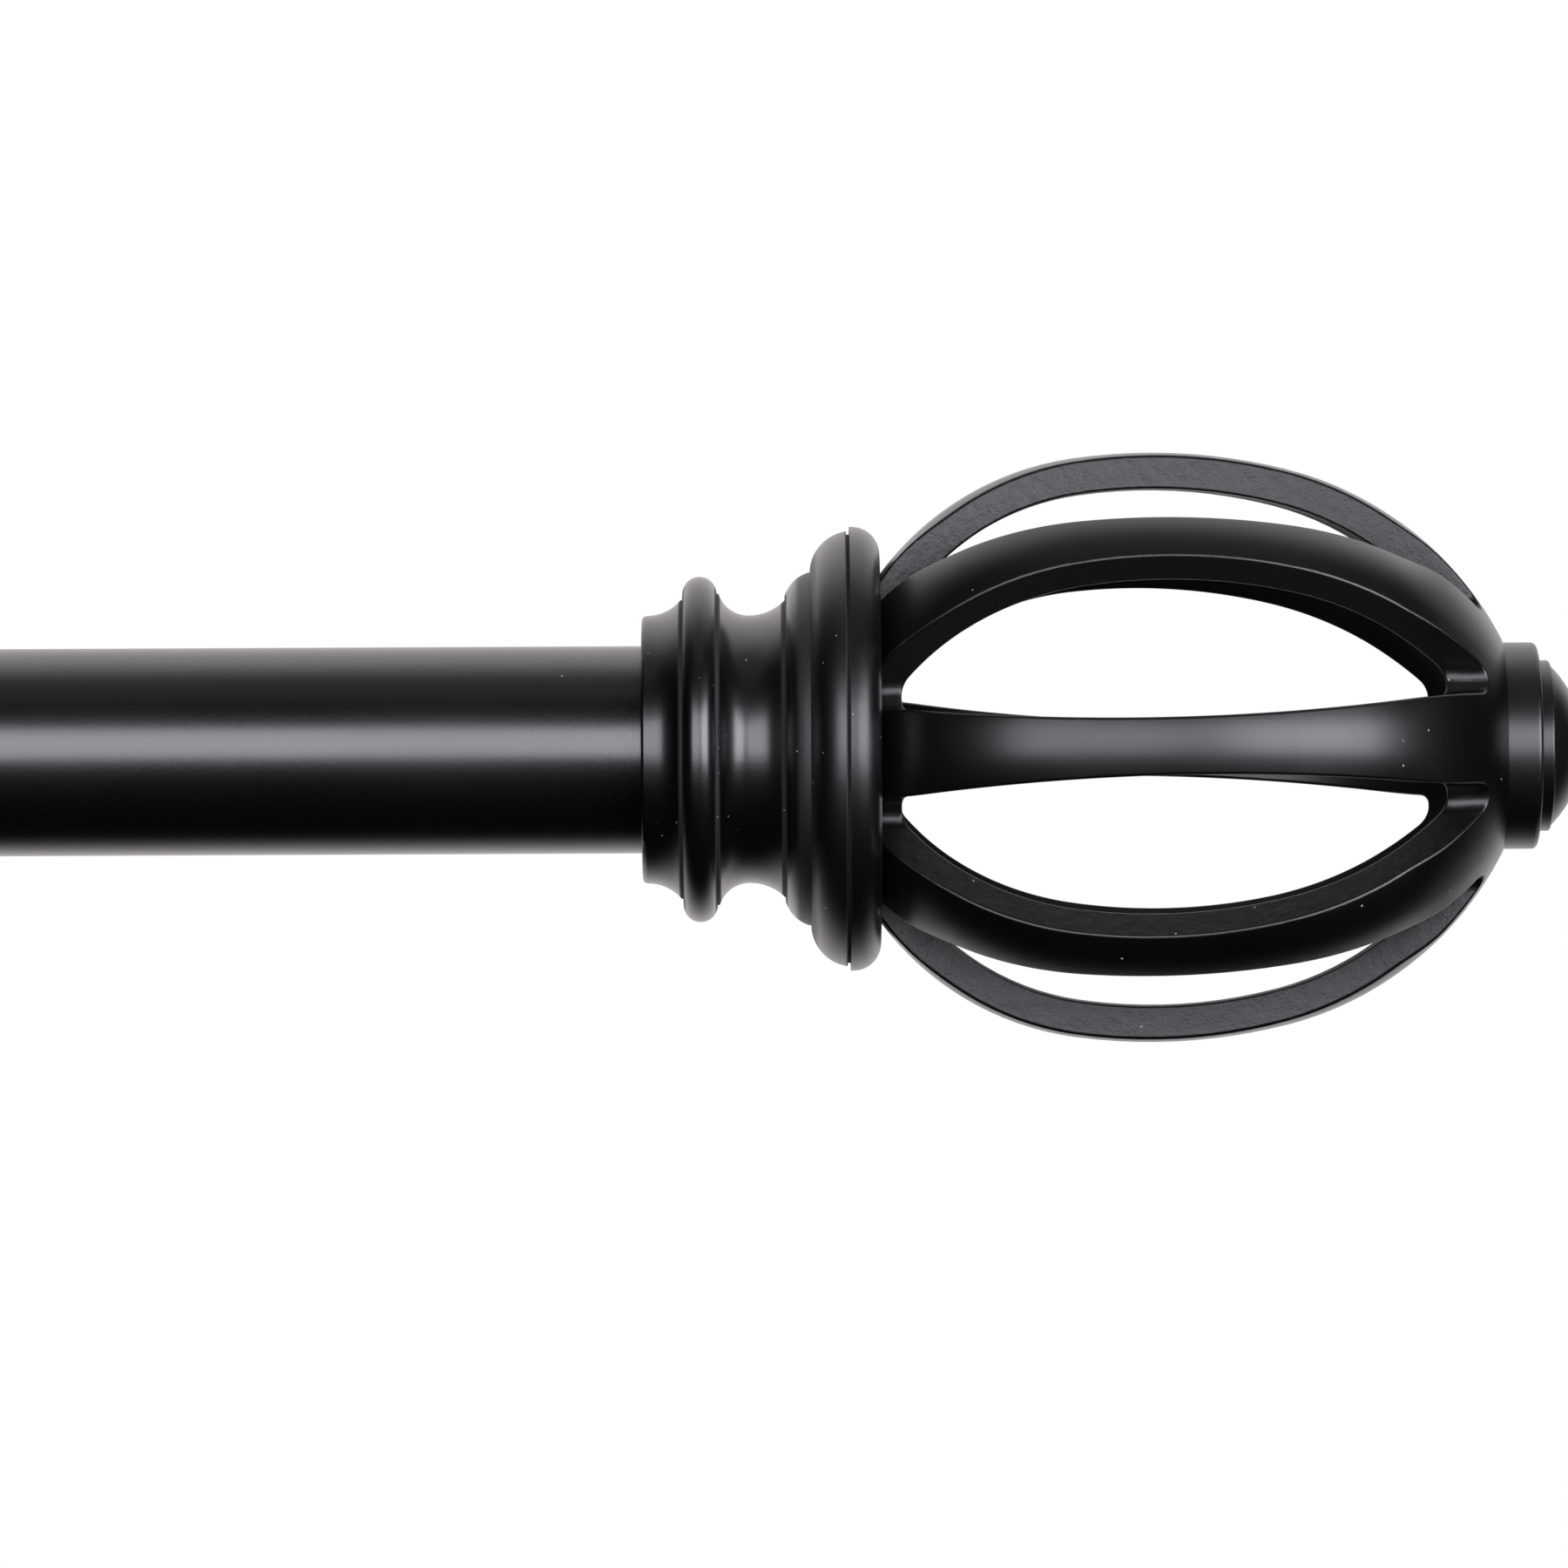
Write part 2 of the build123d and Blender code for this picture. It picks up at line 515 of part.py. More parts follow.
for side, place in bracket_places.items():
    wall = Plane(origin=(place, 0, 0), x_dir=(1, 0, 0), z_dir=(0, -1, 0))
    cradle_plane = Plane(origin=(place, -PROJECTION, 0), x_dir=(0, 1, 0), z_dir=(1, 0, 0))

    # Wall plate: two screw holes, and a countersunk hole from behind for the arm's screw
    with BuildPart() as wall_plate:
        with BuildSketch(wall):
            SlotOverall(PLATE_HEIGHT, PLATE_WIDTH, rotation=90)
        extrude(amount=PLATE_THICKNESS)
        fillet(wall_plate.faces().sort_by(Axis.Y)[0].edges(), PLATE_EDGE)
        with BuildSketch(wall):
            with GridLocations(0, MOUNT_HOLE_SPACING, 1, 2):
                Circle(MOUNT_HOLE_RADIUS)
        extrude(amount=PLATE_THICKNESS, mode=Mode.SUBTRACT)
        with Locations(Plane(origin=wall.origin, x_dir=(1, 0, 0), z_dir=(0, 1, 0))):
            CounterSinkHole(
                ARM_SCREW_RADIUS + SCREW_CLEARANCE,
                ARM_SCREW_HEAD_RADIUS + SCREW_CLEARANCE,
                PLATE_THICKNESS,
                COUNTERSINK_ANGLE,
            )
    wall_plate.part.label = f"wall_plate_{side}"
    export_step(wall_plate.part, f"parts/{wall_plate.part.label}.step")

    # Arm: a turned bar with a foot on the plate and a spigot in the cradle
    arm_axis = Axis((place, 0, 0), (0, -1, 0))
    shoulder = -cradle_back
    with BuildPart() as arm:
        with BuildSketch(Plane(origin=(place, 0, 0), x_dir=(0, -1, 0), z_dir=(1, 0, 0))):
            foot_end = PLATE_THICKNESS + ARM_FOOT_HEIGHT
            with BuildLine():
                Polyline(
                    (PLATE_THICKNESS, 0),
                    (PLATE_THICKNESS, ARM_FOOT_RADIUS),
                    (foot_end - ARM_FOOT_ROUND, ARM_FOOT_RADIUS),
                )
                TangentArc(
                    (foot_end - ARM_FOOT_ROUND, ARM_FOOT_RADIUS),
                    (foot_end, ARM_FOOT_RADIUS - ARM_FOOT_ROUND),
                    tangent=(1, 0),
                )
                Line((foot_end, ARM_FOOT_RADIUS - ARM_FOOT_ROUND), (foot_end, ARM_RADIUS))
                Polyline(
                    (foot_end, ARM_RADIUS),
                    (shoulder, ARM_RADIUS),
                    (shoulder, ARM_SPIGOT_RADIUS),
                    (shoulder + ARM_SPIGOT_LENGTH, ARM_SPIGOT_RADIUS),
                    (shoulder + ARM_SPIGOT_LENGTH, 0),
                    (PLATE_THICKNESS, 0),
                )
            make_face()
            Rectangle(
                PLATE_THICKNESS + ARM_SCREW_BITE + SEAT_GAP,
                ARM_SCREW_RADIUS + THREAD_CLEARANCE,
                align=(Align.MIN, Align.MIN),
                mode=Mode.SUBTRACT,
            )
        revolve(axis=arm_axis)
    arm.part.label = f"bracket_arm_{side}"
    export_step(arm.part, f"parts/{arm.part.label}.step")

    # Arm screw: countersunk head flush in the plate's back
    with BuildPart() as arm_screw:
        with BuildSketch(Plane(origin=(place, 0, 0), x_dir=(0, -1, 0), z_dir=(1, 0, 0))):
            head_height = ARM_SCREW_HEAD_RADIUS - ARM_SCREW_RADIUS
            with BuildLine():
                Polyline(
                    (SCREW_CLEARANCE, 0),
                    (SCREW_CLEARANCE, ARM_SCREW_HEAD_RADIUS),
                    (SCREW_CLEARANCE + head_height, ARM_SCREW_RADIUS),
                    (PLATE_THICKNESS + ARM_SCREW_BITE, ARM_SCREW_RADIUS),
                    (PLATE_THICKNESS + ARM_SCREW_BITE, 0),
                    close=True,
                )
            make_face()
        revolve(axis=arm_axis)
        with BuildSketch(wall.offset(SCREW_CLEARANCE)):
            RegularPolygon(ARM_SCREW_SOCKET_ACROSS / 2, 6, major_radius=False)
        extrude(amount=ARM_SCREW_SOCKET_DEPTH, mode=Mode.SUBTRACT)
    arm_screw.part.label = f"arm_screw_{side}"
    export_step(arm_screw.part, f"parts/{arm_screw.part.label}.step")

    # Cradle: an open-topped saddle with a pad for the arm and a boss for the thumb screw
    with BuildPart() as cradle:
        with BuildSketch(cradle_plane):
            Circle(cradle_outside)
            Rectangle(2 * cradle_outside, CRADLE_BACK_HEIGHT, align=(Align.CENTER, Align.MIN))
            with Locations((0, CRADLE_FRONT_HEIGHT)):
                Rectangle(cradle_outside, cradle_outside, align=(Align.MAX, Align.MIN), mode=Mode.SUBTRACT)
            with Locations((0, CRADLE_BACK_HEIGHT)):
                Rectangle(cradle_outside, cradle_outside, align=(Align.MIN, Align.MIN), mode=Mode.SUBTRACT)
        extrude(amount=CRADLE_WIDTH / 2, both=True)
        with BuildSketch(wall.offset(-cradle_back)):
            Circle(CRADLE_PAD_RADIUS)
        extrude(amount=CRADLE_PAD_HEIGHT + cradle_outside)
        with BuildSketch(Plane.XY.offset(-cradle_outside - CRADLE_BOSS_HEIGHT)):
            with Locations((place, -PROJECTION)):
                Circle(CRADLE_BOSS_RADIUS)
        extrude(amount=CRADLE_BOSS_HEIGHT + cradle_outside)
        with BuildSketch(cradle_plane):
            Circle(cradle_bore)
            Rectangle(2 * cradle_bore, cradle_outside, align=(Align.CENTER, Align.MIN))
        extrude(amount=CRADLE_WIDTH / 2, both=True, mode=Mode.SUBTRACT)
        lips = cradle.faces().filter_by(Axis.Z).filter_by(lambda face: face.center().Z > 0)
        fillet(lips.edges().filter_by(Axis.X), CRADLE_LIP_ROUND)
        with BuildSketch(wall.offset(-cradle_back)):
            Circle(ARM_SPIGOT_RADIUS + PRESS_CLEARANCE)
        extrude(amount=ARM_SPIGOT_LENGTH + PRESS_CLEARANCE, mode=Mode.SUBTRACT)
        with BuildSketch(Plane.XY.offset(-cradle_outside - CRADLE_BOSS_HEIGHT)):
            with Locations((place, -PROJECTION)):
                Circle(THUMB_RADIUS + THREAD_CLEARANCE)
        extrude(amount=CRADLE_BOSS_HEIGHT + cradle_outside, mode=Mode.SUBTRACT)
    cradle.part.label = f"cradle_{side}"
    export_step(cradle.part, f"parts/{cradle.part.label}.step")

    # Thumb screw: comes up through the cradle's boss to the rod, with a flat paddle to turn it by
    with BuildPart() as thumb_screw:
        with BuildSketch(Plane.XY.offset(thumb_head)):
            with Locations((place, -PROJECTION)):
                Circle(THUMB_RADIUS)
        extrude(amount=-thumb_head - cradle_bore)
        with BuildSketch(Plane.XY.offset(paddle_top)):
            with Locations((place, -PROJECTION)):
                Circle(THUMB_COLLAR_RADIUS)
        extrude(amount=THUMB_COLLAR_HEIGHT)
        with BuildSketch(wall.offset(PROJECTION)):
            with Locations((0, paddle_top - THUMB_PADDLE_HEIGHT / 2)):
                RectangleRounded(THUMB_PADDLE_WIDTH, THUMB_PADDLE_HEIGHT, THUMB_PADDLE_CORNER)
        extrude(amount=THUMB_PADDLE_THICKNESS / 2, both=True)
    thumb_screw.part.label = f"thumb_screw_{side}"
    export_step(thumb_screw.part, f"parts/{thumb_screw.part.label}.step")
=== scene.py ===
import math

import bmesh
import bpy
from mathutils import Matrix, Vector


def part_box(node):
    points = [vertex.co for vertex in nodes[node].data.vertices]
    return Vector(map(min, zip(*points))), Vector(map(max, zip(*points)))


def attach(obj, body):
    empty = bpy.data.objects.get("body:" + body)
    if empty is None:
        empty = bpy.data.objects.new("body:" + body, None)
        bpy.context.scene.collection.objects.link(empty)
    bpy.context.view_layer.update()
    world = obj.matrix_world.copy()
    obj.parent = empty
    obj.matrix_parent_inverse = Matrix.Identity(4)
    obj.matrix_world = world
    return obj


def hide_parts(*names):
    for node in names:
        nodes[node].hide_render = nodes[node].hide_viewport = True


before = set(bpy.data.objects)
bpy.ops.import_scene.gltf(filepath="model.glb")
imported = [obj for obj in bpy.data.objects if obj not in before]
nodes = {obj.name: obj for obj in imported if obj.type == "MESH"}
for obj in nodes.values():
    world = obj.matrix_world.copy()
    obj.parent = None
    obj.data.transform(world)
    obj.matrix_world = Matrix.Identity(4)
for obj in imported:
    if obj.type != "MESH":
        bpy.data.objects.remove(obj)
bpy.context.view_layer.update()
scene = bpy.context.scene


# Wall plates: two pressed steel plates with round ends, powder coated satin black.
# Each is screwed to the wall through its two holes and carries its arm on a screw from behind.


class Wire:
    """One socket of a node tree. Sums on wires add the Math nodes that do them."""

    def __init__(self, tree, socket=None):
        self.tree = tree
        self.socket = socket

    def node(self, kind, settings, sockets, output=0):
        """Adds a node: its settings first, then its sockets' values or links. Gives one of its outputs."""
        made = self.tree.nodes.new(kind)
        for name, value in settings.items():
            setattr(made, name, value)
        for name, value in sockets.items():
            if isinstance(value, Wire):
                self.tree.links.new(value.socket, made.inputs[name])
            else:
                made.inputs[name].default_value = value
        return Wire(self.tree, made.outputs[output] if made.outputs else None)

    def math(self, operation, first, second=0.0):
        return self.node("ShaderNodeMath", {"operation": operation}, {0: first, 1: second})

    def __add__(self, other):
        return self.math("ADD", self, other)

    def __radd__(self, other):
        return self.math("ADD", other, self)

    def __sub__(self, other):
        return self.math("SUBTRACT", self, other)

    def __rsub__(self, other):
        return self.math("SUBTRACT", other, self)

    def __mul__(self, other):
        return self.math("MULTIPLY", self, other)

    def __rmul__(self, other):
        return self.math("MULTIPLY", other, self)

    def __gt__(self, other):
        return self.math("GREATER_THAN", self, other)

    def __lt__(self, other):
        return self.math("LESS_THAN", self, other)


def bare_finish(name):
    """A new material with an empty tree, and the wire of the piece's Object coordinates in it."""
    finish = bpy.data.materials.new(name)
    finish.use_nodes = True
    finish.node_tree.nodes.clear()
    return finish, Wire(finish.node_tree).node("ShaderNodeTexCoord", {}, {}, "Object")


def blend_colours(share, first, second):
    """Goes from the first colour to the second with the share."""
    colours = {"Factor": share, 6: (*first, 1.0), 7: (*second, 1.0)}
    return share.node("ShaderNodeMix", {"data_type": "RGBA"}, colours, 2)


def noise(place, per_metre, detail):
    """Noise with about this many patches to the metre."""
    return place.node("ShaderNodeTexNoise", {}, {"Vector": place, "Scale": per_metre, "Detail": detail}, 0)


def relief(height, shape):
    """Bump of this height in metres."""
    return shape.node("ShaderNodeBump", {}, {"Strength": 1.0, "Distance": height, "Height": shape})


def end_finish(place, sockets):
    """Ends a finish in a shader with these values and links."""
    shader = place.node("ShaderNodeBsdfPrincipled", {}, sockets)
    place.node("ShaderNodeOutputMaterial", {}, {"Surface": shader})


def satin_coat(place, grain, height, roughness, gloss, dusty):
    """Ends a finish in a satin black coat, with a grain of this size and height in metres, and some dust."""
    deep = (0.0007, 0.0006, 0.0008)
    thin = (0.0016, 0.0015, 0.0017)
    lint = (0.26, 0.25, 0.24)
    dust_pitch = 0.0010
    dust_radius = 0.000085
    clouds_per_metre = 45.0
    peel_share = 0.2
    peel_height = 2.0
    cloud_dulling = 0.08
    grain_dulling = 0.04
    dust_dulling = 0.3
    fine = noise(place, 1 / grain, 2.0)
    peel = noise(place, peel_share / grain, 1.0)
    cloud = noise(place, clouds_per_metre, 4.0)
    cells = {"Vector": place, "Scale": 1 / dust_pitch}
    from_dust = place.node("ShaderNodeTexVoronoi", {}, cells, "Distance")
    which = place.node("ShaderNodeTexVoronoi", {}, cells, "Color")
    chance = place.node("ShaderNodeSeparateColor", {}, {"Color": which}, "Red")
    dust = (from_dust < chance * (dust_radius / dust_pitch)) * (chance > 1 - dusty)
    coat = blend_colours(cloud, deep, thin)
    shade = place.node("ShaderNodeMix", {"data_type": "RGBA"}, {"Factor": dust, 6: coat, 7: (*lint, 1.0)}, 2)
    bump = relief(height, fine + peel_height * peel)
    uneven = roughness + cloud_dulling * (cloud - 0.5) + grain_dulling * (fine - 0.5)
    end_finish(
        place,
        {
            "Base Color": shade,
            "Roughness": uneven + dust_dulling * dust,
            "IOR": 1.6,
            "Specular IOR Level": gloss,
            "Normal": bump,
        },
    )


def dress(finish, *names):
    """Gives CAD nodes a finish."""
    for name in names:
        nodes[name].data.materials.clear()
        nodes[name].data.materials.append(finish)


bracket_coat, place = bare_finish("bracket_powder_coat")
satin_coat(place, grain=0.00032, height=3e-6, roughness=0.34, gloss=0.9, dusty=0.1)
dress(bracket_coat, "wall_plate_right", "wall_plate_left")


# Arms: turned steel bars with a round foot, coated like the plates.
# Each stands on its plate, held by the screw from behind, and its spigot is pressed into the cradle.

dress(bracket_coat, "bracket_arm_right", "bracket_arm_left")


# Cradles: cast saddles, open at the top, coated like the plates.
# The rod lies in them, and a thumb screw comes up through the boss underneath.

dress(bracket_coat, "cradle_right", "cradle_left")


# Thumb screws: cast paddles with a collar and a threaded shank, black like the brackets.
# They turn by hand in the cradles' bosses and stop the rod from lifting.

thumb_screw_coat, place = bare_finish("thumb_screw_black")
satin_coat(place, grain=0.00022, height=2e-6, roughness=0.38, gloss=0.9, dusty=0.1)
dress(thumb_screw_coat, "thumb_screw_right", "thumb_screw_left")


# Arm screws: countersunk steel screws with a hexagon socket, zinc plated.
# They hold the arms to the plates and end up hidden against the wall.


def zinc_plate(name):
    """Zinc plated steel: dull silver, patchy where the plating is thick or thin."""
    bright = (0.66, 0.66, 0.64)
    dull = (0.46, 0.47, 0.48)
    finish, place = bare_finish(name)
    patches = noise(place, 700.0, 4.0)
    scratches = noise(place, 6000.0, 1.0)
    bump = relief(2e-6, scratches)
    end_finish(
        place,
        {
            "Base Color": blend_colours(patches, bright, dull),
            "Metallic": 1.0,
            "Roughness": 0.26 + 0.2 * patches,
            "Normal": bump,
        },
    )
    return finish


plated_steel = zinc_plate("zinc_plated_steel")
dress(plated_steel, "arm_screw_right", "arm_screw_left")


# Tubes: thin welded steel, drawn smooth and powder coated satin black.
# The inner tube slides in the outer one, and the outer one lies in both cradles.

TUBE_WALL = 0.0007
TUBE_EDGE = 0.00015
TUBE_SIDES = 192
tube_coat, place = bare_finish("tube_powder_coat")
satin_coat(place, grain=0.00030, height=2e-6, roughness=0.275, gloss=1.0, dusty=0.02)


def new_tree(name, sizes):
    """A geometry tree with one input for each size, and a material. Gives the tree and its wires by name."""
    tree = bpy.data.node_groups.new(name, "GeometryNodeTree")
    for size in sizes:
        tree.interface.new_socket(size, in_out="INPUT", socket_type="NodeSocketFloat")
    tree.interface.new_socket("Finish", in_out="INPUT", socket_type="NodeSocketMaterial")
    tree.interface.new_socket("Shape", in_out="OUTPUT", socket_type="NodeSocketGeometry")
    entry = tree.nodes.new("NodeGroupInput")
    return tree, {size: Wire(tree, entry.outputs[size]) for size in (*sizes, "Finish")}


def close_tree(shape, finish):
    """Ends a geometry tree in plain geometry with its finish."""
    plain = shape.node("GeometryNodeRealizeInstances", {}, {"Geometry": shape})
    painted = shape.node("GeometryNodeSetMaterial", {}, {"Geometry": plain, "Material": finish})
    shape.node("NodeGroupOutput", {}, {"Shape": painted})


def shaped(name, tree, sizes):
    """A piece with the plain mesh that a geometry tree gives for these sizes."""
    piece = bpy.data.objects.new(name, bpy.data.meshes.new(name))
    scene.collection.objects.link(piece)
    modifier = piece.modifiers.new("shape", "NODES")
    modifier.node_group = tree
    for item in tree.interface.items_tree:
        if item.in_out == "INPUT":
            modifier[item.identifier] = sizes[item.name]
    grown = piece.evaluated_get(bpy.context.evaluated_depsgraph_get())
    piece.data = bpy.data.meshes.new_from_object(grown)
    piece.data.name = name
    piece.modifiers.remove(modifier)
    return piece


tube_tree, size = new_tree("drawn_tube", ("Start", "Length", "Outer Radius", "Wall", "Edge", "Standoff"))
mean_radius = size["Outer Radius"] - size["Wall"] * 0.5
round_way = mean_radius.node(
    "GeometryNodeCurvePrimitiveCircle", {"mode": "RADIUS"}, {"Resolution": TUBE_SIDES, "Radius": mean_radius}
)
section = mean_radius.node(
    "GeometryNodeCurvePrimitiveQuadrilateral",
    {"mode": "RECTANGLE"},
    {"Width": size["Wall"], "Height": size["Length"]},
)
broken_edge = mean_radius.node(
    "GeometryNodeFilletCurve",
    {"mode": "POLY"},
    {"Curve": section, "Count": 1, "Radius": size["Edge"]},
)
skin = mean_radius.node(
    "GeometryNodeCurveToMesh", {}, {"Curve": round_way, "Profile Curve": broken_edge}
)
corner = mean_radius.node("GeometryNodeInputMeshEdgeAngle", {}, {}, "Unsigned Angle") > math.radians(30)
crisp = mean_radius.node(
    "GeometryNodeSetShadeSmooth",
    {"domain": "EDGE"},
    {"Geometry": skin, "Selection": corner, "Shade Smooth": False},
)
middle = size["Start"] + size["Length"] * 0.5
place = mean_radius.node("ShaderNodeCombineXYZ", {}, {"X": middle, "Y": 0.0 - size["Standoff"]})
laid = mean_radius.node(
    "GeometryNodeTransform",
    {},
    {"Geometry": crisp, "Translation": place, "Rotation": (0.0, math.pi / 2, 0.0)},
)
close_tree(laid, size["Finish"])

for name, body in (("outer_tube", "outer_rod"), ("inner_tube", "inner_rod")):
    low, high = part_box(name)
    tube = shaped(
        f"{name}_drawn",
        tube_tree,
        {
            "Start": low.x,
            "Length": high.x - low.x,
            "Outer Radius": (high.z - low.z) / 2,
            "Wall": TUBE_WALL,
            "Edge": TUBE_EDGE,
            "Standoff": -(low.y + high.y) / 2,
            "Finish": tube_coat,
        },
    )
    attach(tube, body)
    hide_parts(name)


# Bushes and sleeve: plain black mouldings with a faint draw grain.
# The mouth bush and the guide bush keep the tubes centred, and the sleeve fills the left finial's socket.


def black_moulding(name):
    """Black moulded plastic: dull, with the fine spark texture of its mould."""
    dark = (0.012, 0.012, 0.012)
    pale = (0.024, 0.024, 0.024)
    finish, place = bare_finish(name)
    texture = noise(place, 2600.0, 3.0)
    flow = noise(place, 120.0, 2.0)
    bump = relief(8e-6, texture)
    end_finish(
        place,
        {
            "Base Color": blend_colours(flow, dark, pale),
            "Roughness": 0.48 + 0.15 * (texture - 0.5),
            "Normal": bump,
        },
    )
    return finish


dress(black_moulding("black_moulding"), "mouth_bush", "guide_bush", "adapter_sleeve")


# Finial collars: turned in one piece, with a neck, a bead, a cove, a quarter round and half a flange.
# They are painted satin black, duller on the quarter round, towards the flange and in the creases.
# They slide over the rod's ends.

COLLAR_CREASES = (0.00302, 0.00578, 0.01083, 0.01572)
QUARTER_ROUND = 0.0125
NECK_DULLNESS, FLANGE_DULLNESS = 0.29, 0.37
QUARTER_ROUND_DULLING = 0.22
CREASE_DULLING = 0.45
right_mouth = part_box("finial_collar_right")[0].x
left_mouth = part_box("finial_collar_left")[1].x
rod_middle = (right_mouth + left_mouth) / 2
mouth_distance = (right_mouth - left_mouth) / 2


def ease(value, start, end, first, last):
    """Goes smoothly from the first result to the last as the value goes from the start to the end."""
    limits = {"From Min": start, "From Max": end, "To Min": first, "To Max": last}
    return value.node("ShaderNodeMapRange", {"interpolation_type": "SMOOTHSTEP"}, {"Value": value, **limits})


collar_paint, place = bare_finish("finial_collar_paint")
along = place.node("ShaderNodeSeparateXYZ", {}, {0: place}, "X")
from_mouth = place.math("ABSOLUTE", along - rod_middle) - mouth_distance
dullness = ease(from_mouth, 0.010, 0.0165, NECK_DULLNESS, FLANGE_DULLNESS)
from_quarter_round = place.math("ABSOLUTE", from_mouth - QUARTER_ROUND)
dullness = dullness + ease(from_quarter_round, 0.0004, 0.0010, QUARTER_ROUND_DULLING, 0.0)
for crease in COLLAR_CREASES:
    beside = place.math("ABSOLUTE", from_mouth - crease)
    dullness = dullness + ease(beside, 0.00010, 0.00028, CREASE_DULLING, 0.0)
satin_coat(place, grain=0.00020, height=8e-7, roughness=dullness, gloss=0.85, dusty=1.0)
dress(collar_paint, "finial_collar_right", "finial_collar_left")


# Finial cages: a base, eight curved ribs and a nose, moulded in one piece and painted satin black.
# Each sits on a boss in its collar, tied by a screw.
# The ribs' outer faces are slightly crowned, and their flanks are duller and grainier.

RIB_PITCH = math.radians(45)
RIB_CROWN_RADIUS = 0.0080
RIB_START = 0.019
RIB_FULL_FROM = 0.024
RIB_FULL_TO = 0.057
RIB_END = 0.061
RIB_EDGE_DEPTH = 0.0003
SAME_PLACE = 1e-7
FLANK_LEAN = 0.25
FACE_LEAN = 0.45
FLANK_GRAIN = 3e-5
FLANK_DULLING = 0.10
CAGE_GIRTH_RADIUS = 0.02255
CAGE_GIRTH_PLACE = 0.03886
GIRTH_ARC = 0.0425
BASE_ARC, BASE_TURN = 0.0222, math.radians(-8)
NOSE_ARC, NOSE_TURN = 0.0255, math.radians(14)
girth_centre = CAGE_GIRTH_RADIUS - GIRTH_ARC
rod_low, rod_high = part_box("outer_tube")
rod_axis_y = (rod_low.y + rod_high.y) / 2


def cage_radius(reach):
    """Radius of the cage's outline: an arc at the girth, and tighter ones to the base and the nose."""
    arc, turn = GIRTH_ARC, 0.0
    if reach < CAGE_GIRTH_PLACE + GIRTH_ARC * math.sin(BASE_TURN):
        arc, turn = BASE_ARC, BASE_TURN
    if reach > CAGE_GIRTH_PLACE + GIRTH_ARC * math.sin(NOSE_TURN):
        arc, turn = NOSE_ARC, NOSE_TURN
    centre_reach = CAGE_GIRTH_PLACE + (GIRTH_ARC - arc) * math.sin(turn)
    centre_radius = girth_centre + (GIRTH_ARC - arc) * math.cos(turn)
    return centre_radius + math.sqrt(arc * arc - (reach - centre_reach) ** 2)


def smooth_share(value, start, end):
    """Rises smoothly from 0 at the start to 1 at the end."""
    share = min(max((value - start) / (end - start), 0.0), 1.0)
    return share * share * (3 - 2 * share)


def crown_at(point):
    """A rib's outward and sideways directions at a point, and its outer face's fall and slope there."""
    reach = abs(point.x - rod_middle) - mouth_distance
    back, up = point.y - rod_axis_y, point.z
    turn = math.atan2(up, back)
    rib_turn = RIB_PITCH * round(turn / RIB_PITCH)
    outward = Vector((0, math.cos(rib_turn), math.sin(rib_turn)))
    sideways = Vector((0, -math.sin(rib_turn), math.cos(rib_turn)))
    from_axis = math.hypot(back, up)
    if not RIB_START < reach < RIB_END or cage_radius(reach) - from_axis > RIB_EDGE_DEPTH:
        return outward, sideways, 0.0, 0.0
    open_share = smooth_share(reach, RIB_START, RIB_FULL_FROM)
    open_share *= 1 - smooth_share(reach, RIB_FULL_TO, RIB_END)
    bend = open_share * (1 / RIB_CROWN_RADIUS - 1 / CAGE_GIRTH_RADIUS)
    aside = from_axis * math.sin(turn - rib_turn)
    return outward, sideways, bend * aside * aside / 2, bend * aside


def crowned_cage(name, cage):
    """A copy of a cage with crowned ribs, and a mark on faces that don't point to or from its axis."""
    work = bmesh.new()
    work.from_mesh(cage.data)
    facing = work.loops.layers.float_vector.new("facing")
    flank = work.loops.layers.float.new("flank")
    corners = [corner for face in work.faces for corner in face.loops]
    for corner, cast in zip(corners, cage.data.corner_normals):
        outward, sideways, _, slope = crown_at(corner.vert.co)
        corner[facing] = (cast.vector + sideways * slope * cast.vector.dot(outward)).normalized()
        straight_out = Vector((0, corner.vert.co.y - rod_axis_y, corner.vert.co.z)).normalized()
        lean = abs(cast.vector.dot(straight_out))
        corner[flank] = 1 - smooth_share(lean, FLANK_LEAN, FACE_LEAN)
    bmesh.ops.remove_doubles(work, verts=work.verts, dist=SAME_PLACE)
    for face in work.faces:
        face.smooth = True
    for vertex in work.verts:
        outward, _, fall, _ = crown_at(vertex.co)
        vertex.co -= outward * fall
    mesh = bpy.data.meshes.new(name)
    work.to_mesh(mesh)
    work.free()
    mesh.normals_split_custom_set([corner.vector for corner in mesh.attributes["facing"].data])
    mesh.attributes.remove(mesh.attributes["facing"])
    piece = bpy.data.objects.new(name, mesh)
    scene.collection.objects.link(piece)
    return piece


cage_paint, place = bare_finish("finial_cage_paint")
flank = place.node("ShaderNodeAttribute", {"attribute_name": "flank"}, {}, "Fac")
satin_coat(
    place,
    grain=0.00020,
    height=8e-7 + FLANK_GRAIN * flank,
    roughness=0.33 + FLANK_DULLING * flank,
    gloss=0.62,
    dusty=0.06,
)
for side in ("right", "left"):
    cage = crowned_cage(f"finial_cage_{side}_crowned", nodes[f"finial_cage_{side}"])
    cage.data.materials.append(cage_paint)
    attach(cage, f"{side}_finial")
    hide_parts(f"finial_cage_{side}")


# Finial tips: turned buttons with a ring, a step and a dome, painted like the cages.
# Each has a spigot that is pressed into the cage's nose.

tip_paint, place = bare_finish("finial_tip_paint")
satin_coat(place, grain=0.00020, height=8e-7, roughness=0.34, gloss=0.8, dusty=0.1)
dress(tip_paint, "finial_tip_right", "finial_tip_left")


# Finial screws: a zinc plated screw that ties the cage to the collar, and a blackened grub screw.
# The first is driven from inside the socket, and the second grips the rod from the wall side.


